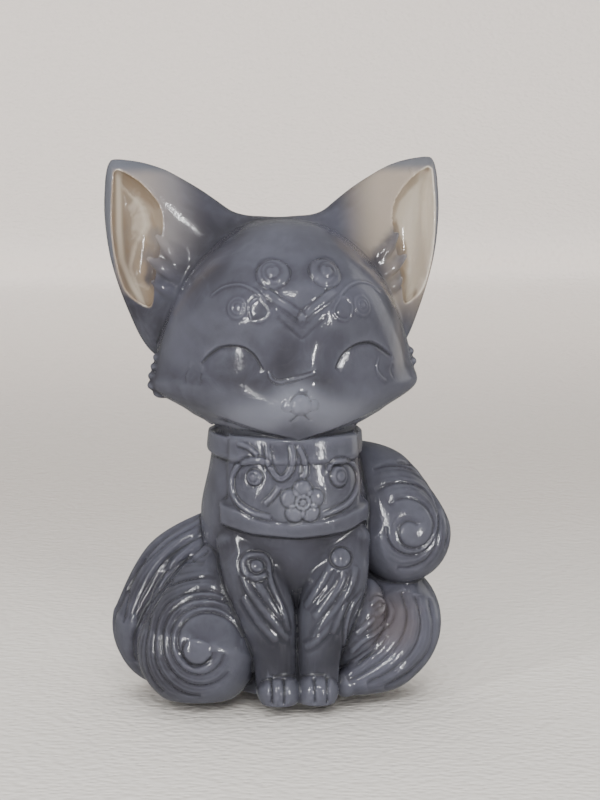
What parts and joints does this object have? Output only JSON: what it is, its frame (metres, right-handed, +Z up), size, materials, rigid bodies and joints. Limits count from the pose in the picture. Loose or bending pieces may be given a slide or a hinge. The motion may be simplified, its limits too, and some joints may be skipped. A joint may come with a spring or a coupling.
{
  "type": "agate fox carving",
  "caption": "Small carved agate figure of a seated fox with hollow ears, closed eyes, a bib with a flower, and curled tails.",
  "frame": {"origin": "on the flat underside, on the body's axis", "axes": "+Z up, -Y is the way the fox faces, +X to the right as the fox is faced"},
  "size_m": [0.0408, 0.0294, 0.0632],
  "materials": {
    "agate": "polished"
  },
  "bodies": {
    "root": {"agate_fox": "agate"}
  },
  "joints": []
}
